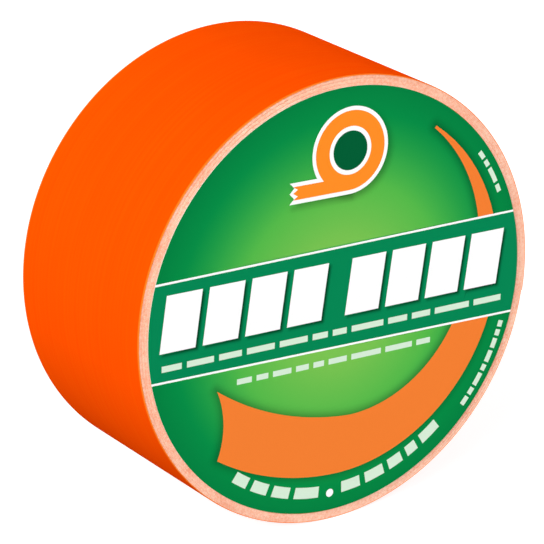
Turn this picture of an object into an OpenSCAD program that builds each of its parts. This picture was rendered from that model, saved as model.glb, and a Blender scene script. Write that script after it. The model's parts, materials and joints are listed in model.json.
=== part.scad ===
// Roll of cloth-backed adhesive tape on a paperboard core, with a round paper
// label stuck over one end. The roll stands on its tread: the core's axis runs
// along Y, the label is on the -Y end, and the origin is the middle of the bore.
// Seen from the label end, the tape winds clockwise towards its free end.

/* [Core] */
// Inside diameter of the paperboard core
core_bore_d = 76.2; // [60:0.1:90]
// Thickness of one paperboard ply
ply_t = 0.5; // [0.3:0.05:0.8]

/* [Tape] */
// Width of the tape and of the core
tape_w = 48; // [24:1:72]
// Length of tape on the roll
tape_len = 13716; // [6000:1:27500]
// Polyethylene film on the outside of the tape
film_t = 0.07; // [0.04:0.01:0.1]
// Woven cloth scrim in the middle
scrim_t = 0.05; // [0.03:0.01:0.08]
// Rubber adhesive on the inside
adhesive_t = 0.065; // [0.04:0.005:0.1]
// Air left between one turn and the next
turn_gap = 0.02; // [0.01:0.005:0.03]
// Where the free end lies, in degrees from +X towards +Z
free_end_angle = -9; // [-45:6:3]

/* [Label] */
// Margin of bare tape edge around the label
label_margin = 2.4; // [1:0.1:5]
// Thickness of the printed paper
label_t = 0.15; // [0.08:0.01:0.3]
// Thickness of the glue behind the paper
label_glue_t = 0.05; // [0.02:0.01:0.1]

/* [Hidden] */

board = [0.66, 0.58, 0.46];
liner_board = [0.80, 0.72, 0.58];
turns_edge = [0.98, 0.70, 0.55];
film_orange = [1.0, 0.37, 0.02];
cloth = [0.93, 0.88, 0.80];
adhesive_peach = [0.96, 0.74, 0.62];
label_green = [0.02, 0.53, 0.30];
dried_glue = [0.90, 0.90, 0.86];

// Core: ply 1 is the wall of the bore, and the last one carries the tape.
core_plies = 6;
core_bore_r = core_bore_d / 2;
core_r = core_bore_r + core_plies * ply_t;

// The web is film, scrim and adhesive together. Wound at this pitch, its whole
// length fills the ring between the core and full_r.
web_t = film_t + scrim_t + adhesive_t;
pitch = web_t + turn_gap;
full_r = sqrt(core_r * core_r + tape_len * pitch / PI);

// The web is drawn in flats this many degrees wide. The flats of neighbouring
// turns line up, so the turns nest without touching, and one flat lies level
// under the roll.
flat = 6;

// The free end peels as short links, each one hinged to the one before it.
// Link 1 leaves the roll, and the last link holds the free end.
tail_links = 5;
link_arc = 2 * flat;
tail_arc = tail_links * link_arc;

end_y = tape_w / 2;
label_r = full_r - label_margin;
glue_bore_r = core_bore_r + 0.4;
through = 1;

// Places on the tape are given in degrees back from its free end.
function inner_face_r(back) = full_r - web_t - pitch * back / 360;

function at(radius, back) = [
  radius * cos(free_end_angle + back),
  radius * sin(free_end_angle + back)
];

// Outline of one layer of the web, between two places on the tape and between
// two depths above its inner face.
function layer_outline(from, to, low, high) = concat(
  [for (back = [from : flat : to]) at(inner_face_r(back) + low, back)],
  [for (back = [to : -flat : from]) at(inner_face_r(back) + high, back)]
);

// Extrudes an outline, drawn as seen from the label end, along the core's axis.
module across_width() {
  rotate([90, 0, 0])
    linear_extrude(height = tape_w, center = true)
      children();
}

module film(from, to) {
  color(film_orange)
    across_width()
      polygon(layer_outline(from, to, adhesive_t + scrim_t, web_t));
}

module scrim(from, to) {
  color(cloth)
    across_width()
      polygon(layer_outline(from, to, adhesive_t, adhesive_t + scrim_t));
}

module adhesive(from, to) {
  color(adhesive_peach)
    across_width()
      polygon(layer_outline(from, to, 0, adhesive_t));
}

// Ply number n, counted out from the bore.
module core_ply(n) {
  inner_r = core_bore_r + (n - 1) * ply_t;
  rotate([90, 0, 0])
    difference() {
      cylinder(h = tape_w, r = inner_r + ply_t, center = true, $fn = 120);
      cylinder(h = tape_w + 2 * through, r = inner_r, center = true, $fn = 120);
    }
}

// Every turn under the last one. Its outside steps up by one turn where the
// last turn leaves it.
module wound_web() {
  color(turns_edge)
    rotate([90, 0, 0])
      difference() {
        linear_extrude(height = tape_w, center = true)
          polygon([for (back = [0 : flat : 360]) at(inner_face_r(back) - turn_gap, back)]);
        cylinder(h = tape_w + 2 * through, r = core_r, center = true, $fn = 120);
      }
}

function link_start(k) = tail_arc - (k - 1) * link_arc;

function link_end(k) = tail_arc - k * link_arc;

module label_paper() {
  color(label_green)
    translate([0, -end_y - label_glue_t, 0])
      rotate([90, 0, 0])
        cylinder(h = label_t, r = label_r, $fn = 160);
}

// The glue keeps off the open bore.
module label_glue() {
  color(dried_glue)
    translate([0, -end_y, 0])
      rotate([90, 0, 0])
        difference() {
          cylinder(h = label_glue_t, r = label_r, $fn = 160);
          translate([0, 0, -through])
            cylinder(h = label_glue_t + 2 * through, r = glue_bore_r, $fn = 120);
        }
}

// Core
color(liner_board) core_ply(1);  // core_inner_ply
for (n = [2 : core_plies - 1])
  color(board) core_ply(n);
color(board) core_ply(core_plies);  // core_outer_ply

// Wound tape
wound_web();
film(tail_arc, 360);  // last_turn_film
scrim(tail_arc, 360);  // last_turn_scrim
adhesive(tail_arc, 360);  // last_turn_adhesive

// Free end
for (k = [1 : tail_links]) {
  film(link_end(k), link_start(k));
  scrim(link_end(k), link_start(k));
  adhesive(link_end(k), link_start(k));
}

// Label
label_paper();
label_glue();
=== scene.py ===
import json
import math
import random
from collections import Counter

import bmesh
import bpy
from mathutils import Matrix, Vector
from mathutils.geometry import delaunay_2d_cdt


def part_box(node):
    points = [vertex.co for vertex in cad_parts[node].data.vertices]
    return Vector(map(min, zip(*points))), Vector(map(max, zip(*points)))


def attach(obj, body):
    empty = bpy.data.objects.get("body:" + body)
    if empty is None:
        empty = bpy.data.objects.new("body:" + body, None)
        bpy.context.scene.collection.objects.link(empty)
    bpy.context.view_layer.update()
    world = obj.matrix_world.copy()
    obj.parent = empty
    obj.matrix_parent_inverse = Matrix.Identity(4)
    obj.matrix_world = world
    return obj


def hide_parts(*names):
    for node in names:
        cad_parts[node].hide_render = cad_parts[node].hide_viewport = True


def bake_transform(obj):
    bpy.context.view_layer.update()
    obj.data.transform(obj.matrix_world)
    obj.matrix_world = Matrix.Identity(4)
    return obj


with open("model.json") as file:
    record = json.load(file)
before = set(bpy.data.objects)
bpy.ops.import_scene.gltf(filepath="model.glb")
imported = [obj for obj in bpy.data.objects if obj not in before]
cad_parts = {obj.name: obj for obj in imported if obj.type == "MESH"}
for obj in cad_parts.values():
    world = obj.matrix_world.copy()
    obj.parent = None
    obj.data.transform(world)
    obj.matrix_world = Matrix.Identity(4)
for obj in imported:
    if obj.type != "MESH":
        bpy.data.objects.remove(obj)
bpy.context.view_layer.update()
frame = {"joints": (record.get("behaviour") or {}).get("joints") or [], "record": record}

# A roll of cloth-backed tape standing on its tread. The core's axis runs along Y
# and the label faces -Y. Everything is in metres; the label's artwork is laid out
# in millimetres and scaled as it is made.

MM = 0.001

# ---------------------------------------------------------------- sizes from the frame

mounts = {m["name"]: m for m in frame["record"]["mounts"]}
bore_r = mounts["core_bore"]["dims"]["r_mm"] * MM
half_w = mounts["core_bore"]["dims"]["length_mm"] * MM / 2

PLIES = ["core_inner_ply", "core_ply_2", "core_ply_3", "core_ply_4", "core_ply_5", "core_outer_ply"]
core_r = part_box(PLIES[-1])[1].x
ply_t = (core_r - bore_r) / len(PLIES)

# The layers of the tape, from its inner face outwards.
ADHESIVE_T = 0.065 * MM
SCRIM_T = 0.05 * MM
FILM_T = 0.07 * MM
GAP_T = 0.02 * MM
web_t = ADHESIVE_T + SCRIM_T + FILM_T
pitch = web_t + GAP_T
LAYERS = {
    "adhesive": (0, ADHESIVE_T),
    "scrim": (ADHESIVE_T, ADHESIVE_T + SCRIM_T),
    "film": (ADHESIVE_T + SCRIM_T, web_t),
}
# The knife rolls the film over in a strip this wide along its two edges.
EDGE_ROLL_W = 0.5 * MM

# The free end's hinges lie on the film, so they give the tape's radius and angles.
# Places along the tape are in degrees back from its free end.
hinges = [Vector(j["pos_m"]) for j in frame["joints"] if j["type"] == "hinge"]
hinge_angles = [math.degrees(math.atan2(p.z, p.x)) for p in hinges]
LINKS = len(hinges)
link_arc = hinge_angles[0] - hinge_angles[1]
tail_arc = LINKS * link_arc
free_end_angle = hinge_angles[0] - tail_arc
full_r = math.hypot(hinges[0].x, hinges[0].z) + pitch * tail_arc / 360

label_low, label_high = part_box("label_paper")
glue_low, glue_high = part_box("label_glue")
label_r = (label_high.z - label_low.z) / 2


def face_r(back):
    """Radius of the tape's inner face."""
    return full_r - web_t - pitch * back / 360


def place(radius, back, y):
    """A point on the tape, given its radius and its place along the tape."""
    angle = math.radians(free_end_angle + back)
    return (radius * math.cos(angle), y, radius * math.sin(angle))


floor_z = -(face_r(270 - free_end_angle) + web_t)


def spread(low, high, count):
    """count + 1 evenly spaced numbers from low to high."""
    return [low + (high - low) * i / count for i in range(count + 1)]


def smooth(low, high, x):
    """0 below low, 1 above high, and a smooth step between them."""
    t = min(max((x - low) / (high - low), 0), 1)
    return t * t * (3 - 2 * t)


class Drift:
    """A smooth random line: a sum of a few sine waves, each with a seeded phase."""

    def __init__(self, seed, lengths):
        draw = random.Random(seed)
        self.waves = [(2 * math.pi / length, draw.uniform(0, 2 * math.pi)) for length in lengths]

    def at(self, x):
        """A number from -1 to 1."""
        return sum(math.sin(k * x + phase) for k, phase in self.waves) / len(self.waves)


# ---------------------------------------------------------------- meshes


def make(name, points, faces, materials, flat_over=35):
    """A new object from points and faces, with its normals facing out."""
    mesh = bpy.data.meshes.new(name)
    mesh.from_pydata(points, [], faces)
    bm = bmesh.new()
    bm.from_mesh(mesh)
    bmesh.ops.recalc_face_normals(bm, faces=bm.faces)
    bm.to_mesh(mesh)
    bm.free()
    mesh.shade_smooth()
    mesh.set_sharp_from_angle(angle=math.radians(flat_over))
    piece = bpy.data.objects.new(name, mesh)
    bpy.context.scene.collection.objects.link(piece)
    for material in materials:
        mesh.materials.append(material)
    return piece


def slab(top, bottom, closed=False):
    """Points and faces of a thin solid between two grids of points of the same size. A closed one
    has its last row joined to its first."""
    rows, cols = len(top), len(top[0])
    points = [p for row in top for p in row] + [p for row in bottom for p in row]
    under = rows * cols
    faces = []
    for i in range(rows if closed else rows - 1):
        a, b = i * cols, (i + 1) % rows * cols
        for j in range(cols - 1):
            faces.append((a + j, b + j, b + j + 1, a + j + 1))
            faces.append((under + a + j, under + a + j + 1, under + b + j + 1, under + b + j))
        for j in (0, cols - 1):
            faces.append((a + j, under + a + j, under + b + j, b + j))
    if not closed:
        for i in (0, rows - 1):
            a = i * cols
            for j in range(cols - 1):
                faces.append((a + j, a + j + 1, under + a + j + 1, under + a + j))
    return points, faces


# ---------------------------------------------------------------- node helpers


def linear(colour):
    """sRGB numbers from 0 to 255 as a linear colour."""
    parts = [c / 255 for c in colour]
    return [c / 12.92 if c <= 0.04045 else ((c + 0.055) / 1.055) ** 2.4 for c in parts] + [1]


# Noise seldom leaves this range.
NOISE_RANGE = (0.3, 0.7)


class Paint:
    """A material under construction: short calls for the nodes that it needs. Sockets of the
    shader are given by name, with _ for each space."""

    def __init__(self, name, **sockets):
        self.material = bpy.data.materials.new(name)
        self.material.use_nodes = True
        self.tree = self.material.node_tree
        self.shader = self.tree.nodes["Principled BSDF"]
        for socket, value in sockets.items():
            self.shader.inputs[socket.replace("_", " ")].default_value = value

    def node(self, kind, feeds=(), **settings):
        """A new node. feeds pairs input sockets, by name or number, with outputs or plain values."""
        made = self.tree.nodes.new("ShaderNode" + kind)
        for key, value in settings.items():
            setattr(made, key, value)
        for socket, source in dict(feeds).items():
            if isinstance(source, bpy.types.NodeSocket):
                self.tree.links.new(source, made.inputs[socket])
            else:
                made.inputs[socket].default_value = source
        return made

    def attribute(self, name):
        return self.node("Attribute", attribute_name=name).outputs

    def where(self):
        """The point on the piece, in its own coordinates."""
        return self.node("TexCoord").outputs["Object"]

    def stretch(self, vector, scale):
        return self.node("Mapping", {"Vector": vector, "Scale": scale}).outputs[0]

    def noise(self, vector, scale, detail=3, roughness=0.5):
        feeds = {"Vector": vector, "Scale": scale, "Detail": detail, "Roughness": roughness}
        return self.node("TexNoise", feeds).outputs["Fac"]

    def math(self, operation, a, b=0.0):
        return self.node("Math", {0: a, 1: b}, operation=operation).outputs[0]

    def between(self, value, low, high, to_low=0.0, to_high=1.0):
        feeds = {"Value": value, 1: low, 2: high, 3: to_low, 4: to_high}
        return self.node("MapRange", feeds).outputs[0]

    def vary(self, noise, to_low=0.0, to_high=1.0):
        """A noise, spread over to_low to to_high."""
        return self.between(noise, *NOISE_RANGE, to_low, to_high)

    def mix(self, factor, a, b, blend_type="MIX"):
        made = self.node("Mix", data_type="RGBA", blend_type=blend_type)
        for socket, source in ((0, factor), (6, a), (7, b)):
            if isinstance(source, bpy.types.NodeSocket):
                self.tree.links.new(source, made.inputs[socket])
            else:
                made.inputs[socket].default_value = source
        return made.outputs[2]

    def colour(self, source):
        self.tree.links.new(source, self.shader.inputs["Base Color"])

    def roughness(self, source):
        self.tree.links.new(source, self.shader.inputs["Roughness"])

    def bump(self, height, strength, distance):
        made = self.node("Bump", {"Strength": strength, "Distance": distance, "Height": height})
        self.tree.links.new(made.outputs[0], self.shader.inputs["Normal"])


# ---------------------------------------------------------------- materials


# Spacing of the scrim's threads. The warp runs along the tape, and the weft across it.
WARP_PITCH = 0.9 * MM
WEFT_PITCH = 1.3 * MM


def weave(paint, at):
    """Height of a plain weave of threads, seen as two sets of ridges at right angles."""
    parts = paint.node("SeparateXYZ", {0: at}).outputs
    across = paint.math("SINE", paint.math("MULTIPLY", parts[1], 2 * math.pi / WARP_PITCH))
    along = paint.math("SINE", paint.math("MULTIPLY", parts[0], 2 * math.pi / WEFT_PITCH))
    return paint.math("MAXIMUM", across, along)


def film_material():
    """Orange polyethylene film with faint draw lines along it, printed through by the scrim."""
    paint = Paint(
        "orange_film",
        Roughness=0.42,
        Specular_IOR_Level=0,
        Sheen_Weight=0.15,
        Sheen_Roughness=0.4,
        Sheen_Tint=(1, 0.03, 0, 1),
    )
    at = paint.attribute("tape_at")["Vector"]
    lines = paint.noise(paint.stretch(at, (6, 900, 6)), 1.0, detail=4, roughness=0.6)
    blotches = paint.noise(paint.stretch(at, (40, 60, 40)), 1.0, detail=2)
    tone = paint.mix(paint.between(lines, 0.35, 0.65), linear((255, 78, 1)), linear((255, 85, 2)))
    tone = paint.mix(paint.vary(blotches, 0, 0.35), tone, linear((247, 76, 1)))
    # The slit edges are rolled over, and the paler band along them is partly the rolled film and partly a
    # painted highlight.
    out = paint.math("ABSOLUTE", paint.node("SeparateXYZ", {0: at}).outputs[1])
    rolled_edge_highlight = paint.between(out, half_w - EDGE_ROLL_W, half_w - 0.3 * EDGE_ROLL_W, 0, 0.8)
    paint.colour(paint.mix(rolled_edge_highlight, tone, linear((255, 136, 40))))
    paint.roughness(paint.vary(lines, 0.36, 0.5))
    threads = weave(paint, at)
    height = paint.math("ADD", paint.math("MULTIPLY", threads, 0.3), paint.math("MULTIPLY", lines, 1.2))
    paint.bump(height, 0.5, 0.012 * MM)
    return paint.material


def scrim_material():
    """Undyed cotton threads."""
    paint = Paint("scrim_cloth", Roughness=0.9)
    at = paint.attribute("tape_at")["Vector"]
    threads = weave(paint, at)
    fibres = paint.noise(at, 9000)
    shade = paint.mix(paint.between(threads, -0.6, 0.9), linear((214, 190, 168)), linear((250, 242, 230)))
    paint.colour(paint.mix(paint.vary(fibres, 0, 0.3), shade, linear((255, 224, 190))))
    paint.bump(threads, 0.8, 0.03 * MM)
    return paint.material


def adhesive_material():
    """Natural rubber adhesive with the scrim showing through it."""
    paint = Paint("adhesive", Roughness=0.35)
    at = paint.attribute("tape_at")["Vector"]
    threads = weave(paint, at)
    lumps = paint.noise(at, 1400, detail=4)
    shade = paint.mix(paint.between(threads, -0.2, 0.9), linear((236, 206, 182)), linear((246, 226, 206)))
    paint.colour(paint.mix(paint.between(lumps, 0.35, 0.7, 0, 0.5), shade, linear((228, 188, 160))))
    paint.roughness(paint.vary(lumps, 0.25, 0.5))
    height = paint.math("ADD", paint.math("MULTIPLY", threads, 0.5), lumps)
    paint.bump(height, 0.7, 0.04 * MM)
    return paint.material


def cut_edge_material(name, light, dark):
    """The slit edge of one layer in the wound roll, mottled and streaked along each turn."""
    paint = Paint(name, Roughness=0.62, Specular_IOR_Level=0.1)
    where = paint.where()
    mottle = paint.noise(paint.stretch(where, (1500, 300, 1500)), 1.0, detail=4, roughness=0.7)
    broad = paint.noise(where, 160, detail=2)
    factor = paint.math("ADD", paint.math("MULTIPLY", mottle, 0.7), paint.math("MULTIPLY", broad, 0.3))
    paint.colour(paint.mix(paint.between(factor, 0.38, 0.62), linear(dark), linear(light)))
    paint.bump(mottle, 0.5, 0.02 * MM)
    return paint.material


def board_material(name, light, dark, coarse):
    """Grey-brown paperboard: matted fibres, flecks and faint winding lines."""
    paint = Paint(name, Roughness=0.88, Specular_IOR_Level=0.25)
    where = paint.where()
    fibres = paint.noise(paint.stretch(where, (700, 1500, 700)), coarse, detail=6, roughness=0.75)
    clouds = paint.noise(where, 70, detail=3)
    flecks = paint.noise(where, 2600, detail=1)
    shade = paint.mix(paint.between(fibres, 0.34, 0.66), linear(dark), linear(light))
    shade = paint.mix(paint.vary(clouds, 0, 0.35), shade, linear(dark))
    shade = paint.mix(paint.between(flecks, 0.68, 0.74, 0, 0.6), shade, linear((96, 78, 58)))
    paint.colour(shade)
    paint.roughness(paint.vary(fibres, 0.8, 0.95))
    paint.bump(fibres, 0.6, 0.05 * MM)
    return paint.material


def print_material():
    """Coated paper. The print's colours are stored on the label's faces."""
    paint = Paint("label_print", Roughness=0.4, Specular_IOR_Level=0.03)
    where = paint.where()
    tooth = paint.noise(where, 5200, detail=3)
    clouds = paint.noise(where, 90, detail=3)
    ink = paint.attribute("ink")["Color"]
    grain = paint.vary(tooth, 0.965, 1.0)
    paint.colour(paint.mix(1.0, ink, grain, "MULTIPLY"))
    paint.roughness(paint.vary(clouds, 0.34, 0.48))
    paint.bump(tooth, 0.25, 0.008 * MM)
    return paint.material


def paper_material():
    """The uncoated back and cut edge of the label."""
    paint = Paint("label_back_paper", Roughness=0.85)
    where = paint.where()
    fibres = paint.noise(where, 1800, detail=5, roughness=0.7)
    clouds = paint.noise(where, 60, detail=2)
    shade = paint.mix(paint.vary(fibres), linear((226, 224, 214)), linear((246, 245, 240)))
    paint.colour(paint.mix(paint.vary(clouds, 0, 0.5), shade, linear((222, 228, 214))))
    paint.bump(fibres, 0.5, 0.02 * MM)
    return paint.material


def glue_material():
    """Lumpy dried glue."""
    paint = Paint("dried_glue", Roughness=0.5)
    lumps = paint.noise(paint.where(), 900, detail=4)
    tone = paint.between(lumps, 0.35, 0.65)
    paint.colour(paint.mix(tone, linear((224, 218, 196)), linear((242, 238, 224))))
    paint.roughness(paint.vary(lumps, 0.35, 0.7))
    paint.bump(lumps, 0.6, 0.03 * MM)
    return paint.material


film = film_material()
scrim = scrim_material()
adhesive = adhesive_material()
film_edge = cut_edge_material("film_cut_edge", (255, 150, 96), (250, 112, 52))
scrim_edge = cut_edge_material("scrim_cut_edge", (255, 240, 226), (244, 205, 180))
adhesive_edge = cut_edge_material("adhesive_cut_edge", (255, 222, 200), (246, 186, 156))
# The knife drags the film over the cut, which shows on the last turn.
outer_edge = cut_edge_material("last_turn_cut_edge", (255, 142, 58), (253, 118, 26))
liner_board = board_material("liner_board", (196, 178, 148), (164, 145, 114), 1.0)
raw_board = board_material("raw_board", (168, 142, 108), (130, 106, 76), 1.3)

# ---------------------------------------------------------------- core

# Each ply is a strip of paperboard wound as a helix, so its butt joint climbs the core. Each joint
# is a share of a turn further round than the one inside it.
SEAM_ADVANCE = 129 * MM
SEAM_W = 0.35 * MM
SEAM_DEPTH = 0.16 * MM
FIRST_SEAM = 110
SEAM_SHIFT = 0.382
CORE_ROWS = 240
CORE_COLS = 32
# Each ply ends a little short of the tape, by an amount in this range and a fuzz on top.
END_RECESS = (0.02 * MM, 0.1 * MM)
END_FUZZ = 0.12 * MM


def core_ply(name, n, material):
    """Ply number n, counted out from the bore, as a tube with its joint line on the inside."""
    inner = bore_r + n * ply_t
    ends = Drift(40 + n, (84, 54, 33, 18.6))
    recess = random.Random(60 + n).uniform(*END_RECESS)
    seam_at = 360 * (n * SEAM_SHIFT % 1) + FIRST_SEAM
    seam_half = math.degrees(SEAM_W / 2 / bore_r)
    rows = [seam_at - 2 * seam_half, seam_at - seam_half, seam_at + seam_half]
    rows += spread(seam_at + 2 * seam_half, seam_at + 360 - 360 / CORE_ROWS, CORE_ROWS)
    top, bottom = [], []
    for angle in rows:
        depth = SEAM_DEPTH if abs(angle - seam_at) < 1.5 * seam_half else 0
        fuzz = recess + END_FUZZ * (1 + ends.at(angle)) / 2
        outside, inside = [], []
        for y in spread(-half_w + fuzz, half_w - fuzz, CORE_COLS):
            turned = math.radians(angle + 360 * y / SEAM_ADVANCE)
            c, s = math.cos(turned), math.sin(turned)
            outside.append(((inner + ply_t) * c, y, (inner + ply_t) * s))
            inside.append(((inner + depth) * c, y, (inner + depth) * s))
        top.append(outside)
        bottom.append(inside)
    points, faces = slab(top, bottom, closed=True)
    piece = make(name + "_board", points, faces, [material])
    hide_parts(name)
    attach(piece, "roll")


for number, ply in enumerate(PLIES):
    core_ply(ply, number, raw_board if number else liner_board)

# ---------------------------------------------------------------- wound turns


def mark_tape(piece, along_of):
    """Stores where each point lies on the unrolled tape, which the tape's materials use."""
    values = []
    for along, vertex in zip(along_of, piece.data.vertices):
        values += (along, vertex.co.y, 0)
    spots = piece.data.attributes.new("tape_at", "FLOAT_VECTOR", "POINT")
    spots.data.foreach_set("vector", values)


# Degrees from one row of points to the next, and how far an edge may lie inside the tape's width.
TURN_STEP = 2.4
EDGE_RECESS = 0.12 * MM


def wound_turns():
    """All the turns under the last one, as one solid. Its ends are a spiral of slit edges, a ridge
    for each turn, with the tape's three layers side by side in each ridge."""
    steps = round(360 / TURN_STEP)
    turns = (face_r(360) - core_r) / pitch
    rows = math.floor(turns * steps)
    # Across one edge: where each layer starts and the groove outside it ends, and how far the cut
    # lies below the ridge there.
    depths = [0, ADHESIVE_T, ADHESIVE_T + SCRIM_T, web_t, web_t + 0.8 * GAP_T]
    dips = [0.035 * MM, 0.02 * MM, 0.008 * MM, 0, 0.04 * MM]
    front = Drift(11, (2300, 1270, 610, 283, 97))
    rear = Drift(12, (2100, 1130, 530, 307, 101))
    points = []
    for i in range(rows + 1):
        back = 360 + i * TURN_STEP
        for side, drift in ((-1, front), (1, rear)):
            recess = EDGE_RECESS * (1 + drift.at(back)) / 2
            for depth, dip in zip(depths, dips):
                points.append(place(face_r(back) + depth, back, side * (half_w - recess - dip)))
    count = len(depths)

    def at(i, side, j):
        return (2 * i + side) * count + j

    faces, bands = [], []

    def face(corners, band):
        faces.append(corners)
        bands.append(band)

    # The slit edges. A groove has the adhesive's colour.
    for i in range(rows):
        for side in (0, 1):
            for j in range(count - 1):
                face((at(i, side, j), at(i + 1, side, j), at(i + 1, side, j + 1), at(i, side, j + 1)), j % 3)
            if i + steps < rows:
                k = i + steps
                gap = (at(k, side, count - 1), at(k + 1, side, count - 1), at(i + 1, side, 0), at(i, side, 0))
                face(gap, 0)
    # The outside and the inside of the winding.
    for i in range(steps):
        face((at(i, 0, count - 1), at(i + 1, 0, count - 1), at(i + 1, 1, count - 1), at(i, 1, count - 1)), 3)
    for i in range(rows - steps, rows):
        face((at(i, 0, 0), at(i + 1, 0, 0), at(i + 1, 1, 0), at(i, 1, 0)), 0)
    # The step at each end of the spiral.
    outer_step = [(steps, count - 1)] + [(0, j) for j in range(count)]
    inner_step = [(rows, j) for j in reversed(range(count))]
    inner_step = [(rows - steps, 0)] + inner_step
    for step in (outer_step, inner_step):
        for (i, j), (k, m) in zip(step, step[1:]):
            face((at(i, 0, j), at(k, 0, m), at(k, 1, m), at(i, 1, j)), 0)
    paints = [adhesive_edge, scrim_edge, film_edge, film]
    piece = make("wound_turns", points, faces, paints, flat_over=80)
    piece.data.polygons.foreach_set("material_index", bands)
    per_row = 2 * count
    mark_tape(piece, [math.radians(360 + i // per_row * TURN_STEP) * full_r for i in range(len(points))])
    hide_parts("wound_web")
    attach(piece, "roll")


wound_turns()

# ---------------------------------------------------------------- last turn and free end

# How far the film's rolled edges drop, and the height of the ridges along it.
EDGE_ROLL = 0.05 * MM
RIDGE = 0.006 * MM
FILM_COLS = 96
LAYER_COLS = 24
# Faces that look this much along the core's axis are slit edges.
SLIT_FACING = 0.7
ridges = Drift(21, (5.3, 3.7, 2.1))
wander = Drift(22, (61, 37, 23))


def outer_relief(along, y):
    """How far the film's outside stands out: faint ridges along the tape, and rolled-over edges."""
    to_edge = half_w - abs(y)
    roll = EDGE_ROLL * (1 - smooth(0, EDGE_ROLL_W, to_edge)) ** 2
    return RIDGE * ridges.at(y / MM + wander.at(along / MM)) - roll


def across_places():
    """Places across the film, close together at its two edges, where it rolls over."""
    fine = [0, 0.06 * MM, 0.14 * MM, 0.26 * MM]
    inside = spread(-half_w + EDGE_ROLL_W, half_w - EDGE_ROLL_W, FILM_COLS)
    return [-half_w + f for f in fine] + inside + [half_w - f for f in reversed(fine)]


def strip(name, layer, backs, material, ragged=0.0):
    """A stretch of one layer of the tape. ragged is how far its row at the free end strays along
    the tape."""
    low, high = LAYERS[layer]
    places = across_places() if layer == "film" else spread(-half_w, half_w, LAYER_COLS)
    torn = Drift(31, (7.3, 2.9, 1.3))
    top, bottom, along_of = [], [], []
    for back in backs:
        outside, inside = [], []
        for y in places:
            shift = 0.0
            if ragged and back == backs[0]:
                shift = math.degrees(ragged * (1 + torn.at(y / MM)) / 2 / full_r)
            along = math.radians(back) * full_r
            stand = outer_relief(along, y) if layer == "film" else 0
            outside.append(place(face_r(back) + high + stand, back + shift, y))
            inside.append(place(face_r(back) + low, back + shift, y))
            along_of.append(along)
        top.append(outside)
        bottom.append(inside)
    points, faces = slab(top, bottom)
    piece = make(name, points, faces, [material, outer_edge])
    for polygon in piece.data.polygons:
        if abs(polygon.normal.y) > SLIT_FACING:
            polygon.material_index = 1
    mark_tape(piece, along_of * 2)
    return piece


# The tape bends over this length to each side of a hinge of the free end.
LEAD = 0.5 * link_arc
TURN_ROWS = 196
BEND_ROWS = 24
TIP_ROWS = 14
LAYER_PAINTS = {"film": film, "scrim": scrim, "adhesive": adhesive}
# How far the torn end of each layer strays along the tape.
TORN = {"film": 0.35 * MM, "scrim": 0.1 * MM, "adhesive": 0.35 * MM}


def tail_bend(layer, k, material):
    """The tape from the middle of one link to the middle of the next, bending at hinge k."""
    middle = tail_arc - (k - 1) * link_arc
    backs = spread(middle - LEAD, middle + LEAD, BEND_ROWS)
    piece = strip(f"tail_{layer}_bend_{k}", layer, backs, material)
    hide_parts(f"tail_{layer}_{k}")
    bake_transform(piece)


for layer_name, layer_paint in LAYER_PAINTS.items():
    turn_backs = spread(tail_arc + LEAD, 360, TURN_ROWS)
    turn = strip(f"last_turn_{layer_name}_strip", layer_name, turn_backs, layer_paint)
    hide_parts("last_turn_" + layer_name)
    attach(turn, "roll")
    for link in range(1, LINKS + 1):
        tail_bend(layer_name, link, layer_paint)
    tip_backs = spread(0, LEAD, TIP_ROWS)
    tip = strip(f"tail_{layer_name}_tip", layer_name, tip_backs, layer_paint, TORN[layer_name])
    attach(tip, f"tail_{LINKS}")

# ---------------------------------------------------------------- label artwork, in millimetres

# The green field's colour at a few distances from the label's middle.
GREENS = [
    (0, (135, 199, 86)),
    (15, (118, 193, 80)),
    (27, (84, 184, 73)),
    (42, (3, 139, 68)),
    (49, (1, 126, 63)),
]
BAND_GREEN = (3, 133, 82)
INK_WHITE = (255, 255, 255)
PRINT_PALE = (214, 236, 214)
SWATCH_ORANGE = (244, 127, 50)
PICTURE_GREEN = (0, 92, 52)
PICTURE_ORANGE = (255, 142, 38)
LABEL_TURN = math.radians(-1.8)
art_r = label_r / MM


def on_circle(u, v, r, angle):
    return (u + r * math.cos(angle), v + r * math.sin(angle))


def circle(u, v, r, count=48):
    return [on_circle(u, v, r, 2 * math.pi * i / count) for i in range(count)]


def arc_through(a, b, c, count=16):
    """Points on the arc from a through b to c, without c itself."""
    (ax, ay), (bx, by), (cx, cy) = a, b, c
    d = 2 * (ax * (by - cy) + bx * (cy - ay) + cx * (ay - by))
    a2, b2, c2 = ax * ax + ay * ay, bx * bx + by * by, cx * cx + cy * cy
    u = (a2 * (by - cy) + b2 * (cy - ay) + c2 * (ay - by)) / d
    v = (a2 * (cx - bx) + b2 * (ax - cx) + c2 * (bx - ax)) / d
    r = math.hypot(ax - u, ay - v)
    first, via, last = (math.atan2(y - v, x - u) for x, y in (a, b, c))
    turn = 2 * math.pi
    sweep, reach = (last - first) % turn, (via - first) % turn
    if reach > sweep:
        sweep -= turn
    return [on_circle(u, v, r, first + sweep * i / count) for i in range(count)]


def bar(u0, u1, v0, v1, slant=0.0):
    """A block from u0 to u1 and v0 to v1, whose top leans over by slant."""
    return [(u0, v0), (u1, v0), (u1 + slant, v1), (u0 + slant, v1)]


def arc_bar(r0, r1, from_deg, to_deg):
    """A block bent round the label's centre, with a point every 2 degrees or so."""
    count = max(2, round(abs(to_deg - from_deg) / 2))
    angles = [math.radians(a) for a in spread(from_deg, to_deg, count)]
    outer = [on_circle(0, 0, r1, a) for a in angles]
    inner = [on_circle(0, 0, r0, a) for a in reversed(angles)]
    return outer + inner


def words(start, end, seed, shortest, longest, space):
    """Places of a line of blank words that fills start to end."""
    draw = random.Random(seed)
    spans = []
    at = start
    while at < end:
        width = draw.uniform(shortest, longest)
        if at + width + space + shortest > end:
            width = end - at
        spans.append((at, at + width))
        at += width + space
    return spans


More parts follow.
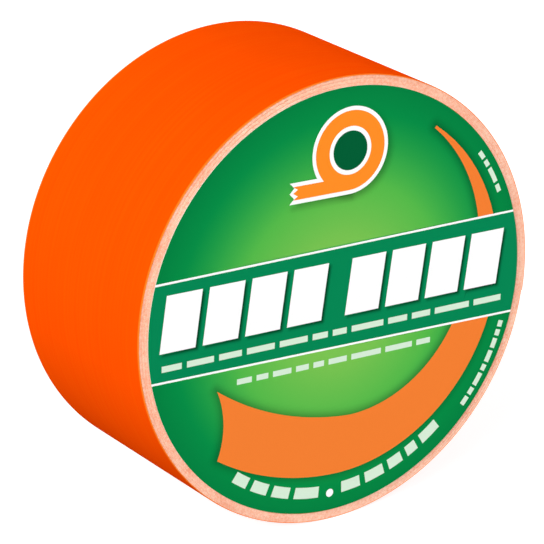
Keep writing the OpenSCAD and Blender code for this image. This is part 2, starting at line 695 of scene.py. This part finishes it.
# The band's two edges, drawn past the label and cut off at its rim, and the white rule along each.
BAND_TOP = [(-60, 12.35), (60, 13.6)]
BAND_FOOT = [(-60, -9.85), (60, -10.95)]
RULE = 0.48


def band_line(ends, lift):
    return [(u, v + lift) for u, v in ends]


def swatch():
    """The crescent of tape colour: a point at the upper right, widening round to a hollow end."""
    tip, tip_in, right, left_top = (24.2, 36.3), (23.8, 35.8), (41.0, -10.6), (-31.0, -14.4)
    foot, dip, inner = (2.0, -40.0), (4.0, -26.8), (31.0, -10.5)
    left_foot = (-30.6, -30.5)
    outline = arc_through(tip, (38.4, 20.0), right)
    outline += arc_through(right, (29.6, -28.8), foot, 20)
    outline += arc_through(foot, (-15.0, -37.6), left_foot, 20)
    outline += arc_through(left_foot, (-29.2, -22.0), left_top, 10)
    outline += arc_through(left_top, (-14.0, -23.2), dip, 20)
    outline += arc_through(dip, (21.0, -21.6), inner, 20)
    outline += arc_through(inner, (36.6, 3.0), (36.7, 14.0), 10)
    return outline + arc_through((36.7, 14.0), (33.0, 24.5), tip_in) + [tip_in]


# The headline is leaning blank blocks in two groups.
GROUP_STARTS = (-45.6, 1.6)
GROUP_SIZE = 4
BLOCK_PITCH = 10.7
BLOCK_W = 8.9
BLOCK_FOOT = -3.2
BLOCK_TOP = 9.6
BLOCK_LEAN = 1.6


def headline():
    lefts = [start + i * BLOCK_PITCH for start in GROUP_STARTS for i in range(GROUP_SIZE)]
    return [bar(left, left + BLOCK_W, BLOCK_FOOT, BLOCK_TOP, BLOCK_LEAN) for left in lefts]


# The picture of a roll of tape at the top, with a white outline round it and its bore.
ROLL_U, ROLL_V = 1.6, 34.2
ROLL_R = 8.9
ROLL_BORE_R = 4.4
BORE_OUTLINE_W = 1.0
OUTLINE_W = 0.9
STRIP_LENGTH = 14.5
STRIP_W = 3.0
TEETH = 4
TOOTH = 1.2


def picture_tail(grow):
    """A strip of tape leaving the foot of the pictured roll, with a zigzag end."""
    top, foot = ROLL_V - ROLL_R + STRIP_W + grow, ROLL_V - ROLL_R - grow
    left = ROLL_U - STRIP_LENGTH - grow
    heights = reversed(spread(foot, top, TEETH))
    teeth = [(left + TOOTH * (i % 2), v) for i, v in enumerate(heights)]
    return teeth + [(ROLL_U, foot), (ROLL_U, top)]


art = []


def draw_shape(outline, ink):
    """Adds a shape over the ones before it. Outlines run anticlockwise."""
    area = sum(x0 * y1 - x1 * y0 for (x0, y0), (x1, y1) in zip(outline, outline[1:] + outline[:1]))
    art.append((outline if area > 0 else outline[::-1], ink))


def small_print(span, seed, word, space, low, high, bent=False):
    """A line of blank words, from low to high. A bent one goes round the label's middle: its span
    is in degrees, and low and high are radii."""
    for left, right in words(*span, seed, *word, space):
        outline = arc_bar(low, high, left, right) if bent else bar(left, right, low, high)
        draw_shape(outline, PRINT_PALE)


draw_shape(swatch(), SWATCH_ORANGE)
draw_shape(BAND_FOOT + BAND_TOP[::-1], INK_WHITE)
draw_shape(band_line(BAND_FOOT, RULE) + band_line(BAND_TOP, -RULE)[::-1], BAND_GREEN)
for block in headline():
    draw_shape(block, INK_WHITE)
small_print((-45.0, 44.2), seed=3, word=(3.6, 9.4), space=1.3, low=-7.4, high=-6.0)
small_print((-26.0, 25.0), seed=4, word=(2.4, 8.4), space=1.2, low=-13.9, high=-12.6)
small_print((-126.5, -95.0), seed=5, word=(2.6, 7.0), space=1.9, low=42.4, high=45.0, bent=True)
small_print((-87.0, -50.5), seed=6, word=(2.6, 7.5), space=1.9, low=42.4, high=45.0, bent=True)
draw_shape(circle(-0.8, -44.4, 0.95, 20), INK_WHITE)
small_print((-41.5, -15.5), seed=7, word=(1.6, 5.0), space=0.8, low=45.7, high=47.0, bent=True)
small_print((23.5, 38.0), seed=8, word=(1.6, 5.0), space=0.9, low=45.6, high=46.7, bent=True)
draw_shape(circle(ROLL_U, ROLL_V, ROLL_R + OUTLINE_W, 64), INK_WHITE)
draw_shape(picture_tail(OUTLINE_W), INK_WHITE)
draw_shape(circle(ROLL_U, ROLL_V, ROLL_R, 64), PICTURE_ORANGE)
draw_shape(picture_tail(0), PICTURE_ORANGE)
draw_shape(circle(ROLL_U, ROLL_V, ROLL_BORE_R + BORE_OUTLINE_W), INK_WHITE)
draw_shape(circle(ROLL_U, ROLL_V, ROLL_BORE_R), PICTURE_GREEN)

# ---------------------------------------------------------------- label


def distance_to(outline, u, v):
    """Distance from a point to an outline, negative inside it."""
    best, inside = 1e9, False
    for (x0, y0), (x1, y1) in zip(outline, outline[1:] + outline[:1]):
        dx, dy = x1 - x0, y1 - y0
        t = min(max(((u - x0) * dx + (v - y0) * dy) / (dx * dx + dy * dy), 0), 1)
        best = min(best, math.hypot(u - x0 - t * dx, v - y0 - t * dy))
        if (y0 > v) != (y1 > v) and u < x0 + (v - y0) / dy * dx:
            inside = not inside
    return -best if inside else best


class Shadow:
    """A printed soft shadow of one shape on one ink, shifted and blurred."""

    def __init__(self, outline, shift, blur, depth, on):
        self.outline = [(u + shift[0], v + shift[1]) for u, v in outline]
        self.blur, self.depth, self.on = blur, depth, on
        us, vs = zip(*self.outline)
        self.box = (min(us) - blur, max(us) + blur, min(vs) - blur, max(vs) + blur)

    def at(self, u, v, ink):
        """What the colour at a point is multiplied by."""
        left, right, foot, top = self.box
        if ink != self.on or not (left < u < right and foot < v < top):
            return 1.0
        return 1 - self.depth * (1 - smooth(-self.blur, self.blur, distance_to(self.outline, u, v)))


FIELD = "field"
shadows = [Shadow(swatch(), shift=(-0.2, 0.22), blur=2.4, depth=0.86, on=FIELD)]
for block in headline():
    shadows.append(Shadow(block, shift=(0.6, -0.6), blur=0.5, depth=0.8, on=BAND_GREEN))
for part in (circle(ROLL_U, ROLL_V, ROLL_R + OUTLINE_W, 32), picture_tail(OUTLINE_W)):
    shadows.append(Shadow(part, shift=(0.9, -0.9), blur=1.4, depth=0.5, on=FIELD))


def field_colour(u, v):
    """The green field: light in the middle, dark at the rim."""
    r = math.hypot(u, v)
    for (r0, c0), (r1, c1) in zip(GREENS, GREENS[1:]):
        if r <= r1 or r1 == GREENS[-1][0]:
            t = min((r - r0) / (r1 - r0), 1)
            return linear([a + (b - a) * t for a, b in zip(c0, c1)])


RIM_POINTS = 240
# Points inside the label store its gradients and shadows. They are denser from BAND_LOW to
# BAND_HIGH, where the headline's narrow shadows are. JITTER is a share of their spacing, and none
# lies within RIM_CLEAR of the rim.
COARSE = 0.9
FINE = 0.45
BAND_LOW = -11.0
BAND_HIGH = 13.0
JITTER = 0.1
RIM_CLEAR = 0.3
# Settings of the triangulation: triangles inside the outlines only, and when two points are one.
INSIDE_OUTLINES = 1
SAME_POINT = 1e-5


def label_mesh():
    """Points and faces of the printed face, cut along the artwork's outlines, with each face's ink
    and the points round the rim."""
    points, shapes = [], []
    for outline in [circle(0, 0, art_r, RIM_POINTS)] + [outline for outline, ink in art]:
        shapes.append(list(range(len(points), len(points) + len(outline))))
        points += outline
    draw = random.Random(9)
    belts = ((COARSE, -art_r, BAND_LOW), (FINE, BAND_LOW, BAND_HIGH), (COARSE, BAND_HIGH, art_r))
    for spacing, low, high in belts:
        rows = round((high - low) / spacing)
        for i in range(rows):
            for j in range(round(2 * art_r / spacing)):
                u = -art_r + (j + 0.5 * (i % 2) + draw.uniform(-JITTER, JITTER)) * spacing
                v = low + (i + 0.5) * spacing
                if math.hypot(u, v) < art_r - RIM_CLEAR:
                    points.append((u, v))
    cut = delaunay_2d_cdt([Vector(p) for p in points], [], shapes, INSIDE_OUTLINES, SAME_POINT)
    spots, triangles, owners = cut[0], cut[2], cut[5]
    # A triangle belongs to the last shape drawn over it. Points on no triangle are dropped.
    kept, inks, numbers = [], [], {}
    for triangle, owner in zip(triangles, owners):
        if 0 in owner:
            kept.append(tuple(numbers.setdefault(v, len(numbers)) for v in triangle))
            top = max(owner)
            inks.append(art[top - 1][1] if top else FIELD)
    spots = [spots[v] for v in numbers]
    uses = Counter(frozenset(edge) for a, b, c in kept for edge in ((a, b), (b, c), (c, a)))
    rim = {v for edge, count in uses.items() if count == 1 for v in edge}
    return spots, kept, inks, sorted(rim, key=lambda v: math.atan2(spots[v].y, spots[v].x))


# Radii of the rings of faces on the back, as shares of the label's.
BACK_RINGS = (1, 0.75, 0.5, 0.25)


def label_disc():
    """The label: its printed face, a thin rim, and a plain back in a few rings."""
    spots, triangles, inks, rim = label_mesh()
    front_y, back_y = label_low.y, label_high.y
    c, s = math.cos(LABEL_TURN), math.sin(LABEL_TURN)

    def laid(u, v, y):
        return ((u * c - v * s) * MM, y, (u * s + v * c) * MM)

    points = [laid(p.x, p.y, front_y) for p in spots]
    faces = list(triangles)
    rim_count = len(rim)
    ring_starts = []
    for share in BACK_RINGS:
        ring_starts.append(len(points))
        points += [laid(spots[v].x * share, spots[v].y * share, back_y) for v in rim]
    for i in range(rim_count):
        j = (i + 1) % rim_count
        faces.append((rim[i], ring_starts[0] + i, ring_starts[0] + j, rim[j]))
        for outer, inner in zip(ring_starts, ring_starts[1:]):
            faces.append((outer + i, inner + i, inner + j, outer + j))
    faces.append(tuple(ring_starts[-1] + i for i in range(rim_count)))
    printed = len(triangles)
    piece = make("label_disc", points, faces, [print_material(), paper_material()])
    mesh = piece.data
    mesh.polygons.foreach_set("material_index", [0] * printed + [1] * (len(faces) - printed))
    known = {}

    def ink_at(vertex, ink):
        if (vertex, ink) not in known:
            u, v = spots[vertex]
            base = field_colour(u, v) if ink == FIELD else linear(ink)
            dark = 1.0
            for shadow in shadows:
                dark *= shadow.at(u, v, ink)
            known[vertex, ink] = [base[0] * dark, base[1] * dark, base[2] * dark, 1]
        return known[vertex, ink]

    colours = mesh.color_attributes.new("ink", "FLOAT_COLOR", "CORNER")
    values = []
    for polygon in mesh.polygons:
        for corner in polygon.loop_indices:
            vertex = mesh.loops[corner].vertex_index
            values += ink_at(vertex, inks[polygon.index]) if polygon.index < printed else (1, 1, 1, 1)
    colours.data.foreach_set("color", values)
    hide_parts("label_paper")
    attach(piece, "label")


label_disc()

GLUE_ROWS = 240
GLUE_COLS = 12
GLUE_MARGIN = 0.25 * MM
# The glue's thickness as a share of its CAD solid's, and its clearance from the paper.
GLUE_SHARE = 0.8
GLUE_CLEAR = 0.002 * MM


def label_glue_ring():
    """The glue that holds the label, with an uneven inner edge."""
    inner_edge = Drift(51, (36, 20, 10.8))
    lumps = Drift(52, (6.1, 3.3, 1.7))
    thick = (glue_high.y - glue_low.y) * GLUE_SHARE
    top, bottom = [], []
    for angle in spread(0, 360 - 360 / GLUE_ROWS, GLUE_ROWS - 1):
        inner = bore_r + (0.8 + 0.35 * inner_edge.at(angle)) * MM
        c, s = math.cos(math.radians(angle)), math.sin(math.radians(angle))
        near_paper, near_tape = [], []
        for r in spread(inner, label_r - GLUE_MARGIN, GLUE_COLS):
            lump = 0.85 + 0.15 * lumps.at(r / MM + angle / 5)
            near_paper.append((r * c, glue_low.y + GLUE_CLEAR, r * s))
            near_tape.append((r * c, glue_low.y + thick * lump, r * s))
        top.append(near_paper)
        bottom.append(near_tape)
    points, faces = slab(top, bottom, closed=True)
    piece = make("label_glue_ring", points, faces, [glue_material()])
    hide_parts("label_glue")
    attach(piece, "label")


label_glue_ring()

# ---------------------------------------------------------------- stage, lights, camera

FLOOR_SIZE = 8
FLOOR_GLOW = 0.84
# How wide each distant light looks from the roll, in degrees.
LIGHT_SPREAD = 35


def studio_floor():
    """A pale floor that glows a little, as a light table does, so that shadows stay faint. Only the
    lights and the world light the roll."""
    paint = Paint(
        "studio_floor",
        Roughness=0.9,
        Specular_IOR_Level=0.1,
        Emission_Color=(1, 1, 1, 1),
        Emission_Strength=FLOOR_GLOW,
    )
    tone = paint.noise(paint.where(), 3, detail=2)
    paint.colour(paint.mix(tone, (0.36, 0.36, 0.36, 1), (0.4, 0.4, 0.4, 1)))
    bpy.ops.mesh.primitive_plane_add(size=FLOOR_SIZE, location=(0, 0, floor_z))
    floor = bpy.context.object
    floor.name = "studio_floor"
    floor.data.materials.append(paint.material)
    floor.visible_diffuse = False
    floor.visible_glossy = False


studio_floor()


def way_to(azimuth, elevation):
    """The direction from the roll to a place at this compass angle and height, in degrees. The
    label faces compass angle 0."""
    a, e = math.radians(azimuth), math.radians(elevation)
    return Vector((math.sin(a) * math.cos(e), -math.cos(a) * math.cos(e), math.sin(e)))


def soft_light(name, azimuth, elevation, strength):
    """A broad distant light. A white surface that faces it reflects this strength."""
    data = bpy.data.lights.new(name, "SUN")
    data.angle = math.radians(LIGHT_SPREAD)
    data.energy = strength * math.pi
    light = bpy.data.objects.new(name, data)
    bpy.context.scene.collection.objects.link(light)
    light.rotation_euler = way_to(azimuth, elevation).to_track_quat("Z", "Y").to_euler()


soft_light("key", azimuth=-66, elevation=28, strength=1.07)
soft_light("front_fill", azimuth=10, elevation=15, strength=0.405)
soft_light("back_fill", azimuth=150, elevation=0, strength=0.7)
soft_light("right_fill", azimuth=95, elevation=0, strength=0.3)


def studio_world(seen, light):
    """A plain white surround: how bright it looks, and how much it lights."""
    world = bpy.data.worlds.new("studio")
    world.use_nodes = True
    tree = world.node_tree
    path = tree.nodes.new("ShaderNodeLightPath")
    choose = tree.nodes.new("ShaderNodeMapRange")
    choose.inputs["To Min"].default_value = light
    choose.inputs["To Max"].default_value = seen
    background = tree.nodes["Background"]
    background.inputs["Color"].default_value = (1, 1, 1, 1)
    tree.links.new(path.outputs["Is Camera Ray"], choose.inputs["Value"])
    tree.links.new(choose.outputs[0], background.inputs["Strength"])
    bpy.context.scene.world = world


studio_world(seen=1.0, light=0.26)
bpy.context.scene.view_settings.view_transform = "Standard"

CAMERA_AZIMUTH = -33.92
CAMERA_ELEVATION = 20.69
CAMERA_DISTANCE = 14.5 * full_r
# Focal length in mm on a sensor SENSOR_W wide, and shift as a share of its width.
SENSOR_W = 36
CAMERA_LENS = 220.606
CAMERA_SHIFT = (-0.008217, -0.004007)
CAMERA_NEAR = 10 * MM


def make_camera():
    data = bpy.data.cameras.new("camera")
    data.sensor_width = SENSOR_W
    data.lens = CAMERA_LENS
    data.shift_x, data.shift_y = CAMERA_SHIFT
    data.clip_start = CAMERA_NEAR
    camera = bpy.data.objects.new("camera", data)
    bpy.context.scene.collection.objects.link(camera)
    way = way_to(CAMERA_AZIMUTH, CAMERA_ELEVATION)
    camera.location = way * CAMERA_DISTANCE
    camera.rotation_euler = way.to_track_quat("Z", "Y").to_euler()
    bpy.context.scene.camera = camera


make_camera()
